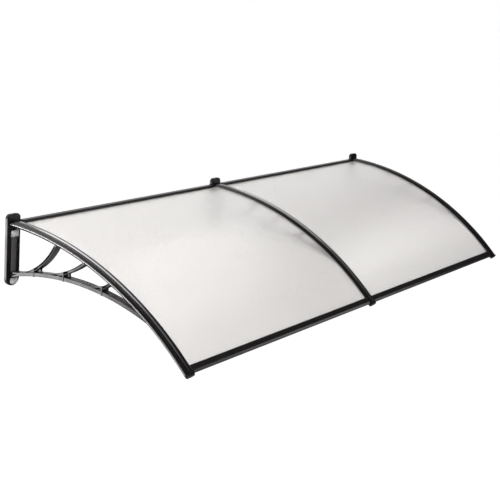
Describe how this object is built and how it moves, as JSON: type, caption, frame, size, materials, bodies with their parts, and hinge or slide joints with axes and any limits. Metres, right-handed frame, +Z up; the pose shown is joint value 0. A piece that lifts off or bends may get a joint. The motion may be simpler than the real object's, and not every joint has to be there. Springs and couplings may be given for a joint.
{
  "type": "polycarbonate door canopy",
  "caption": "Wall-mounted door canopy: frosted polycarbonate sheets bent over moulded arched brackets, held by cover strips, edge rails and end caps.",
  "frame": {"origin": "centre of the centre bracket's wall face", "axes": "+X along the wall, +Y into the wall so that the canopy reaches towards -Y, +Z up"},
  "size_m": [2.026, 0.7158, 0.3241],
  "materials": {
    "black_plastic": "semi-gloss moulded",
    "frosted_sheet": "frosted translucent",
    "dark_aluminium": "dark satin coating",
    "zinc_steel": "zinc plated"
  },
  "bodies": {
    "root": {"bracket_left": "black_plastic", "bracket_centre": "black_plastic", "bracket_right": "black_plastic", "cover_strip_left": "black_plastic", "cover_strip_centre": "black_plastic", "cover_strip_right": "black_plastic", "end_cap_left": "black_plastic", "end_cap_centre": "black_plastic", "end_cap_right": "black_plastic", "sheet_left": "frosted_sheet", "sheet_right": "frosted_sheet", "rear_rail_left": "dark_aluminium", "rear_rail_right": "dark_aluminium", "front_rail_left": "dark_aluminium", "front_rail_right": "dark_aluminium", "wall_bolt_left_upper": "zinc_steel", "wall_bolt_left_lower": "zinc_steel", "wall_bolt_centre_upper": "zinc_steel", "wall_bolt_centre_lower": "zinc_steel", "wall_bolt_right_upper": "zinc_steel", "wall_bolt_right_lower": "zinc_steel", "washer_left_upper": "zinc_steel", "washer_left_lower": "zinc_steel", "washer_centre_upper": "zinc_steel", "washer_centre_lower": "zinc_steel", "washer_right_upper": "zinc_steel", "washer_right_lower": "zinc_steel", "cover_screw_left_1": "zinc_steel", "cover_screw_left_2": "zinc_steel", "cover_screw_left_3": "zinc_steel", "cover_screw_left_4": "zinc_steel", "cover_screw_left_5": "zinc_steel", "cover_screw_centre_1": "zinc_steel", "cover_screw_centre_2": "zinc_steel", "cover_screw_centre_3": "zinc_steel", "cover_screw_centre_4": "zinc_steel", "cover_screw_centre_5": "zinc_steel", "cover_screw_right_1": "zinc_steel", "cover_screw_right_2": "zinc_steel", "cover_screw_right_3": "zinc_steel", "cover_screw_right_4": "zinc_steel", "cover_screw_right_5": "zinc_steel"}
  },
  "joints": []
}
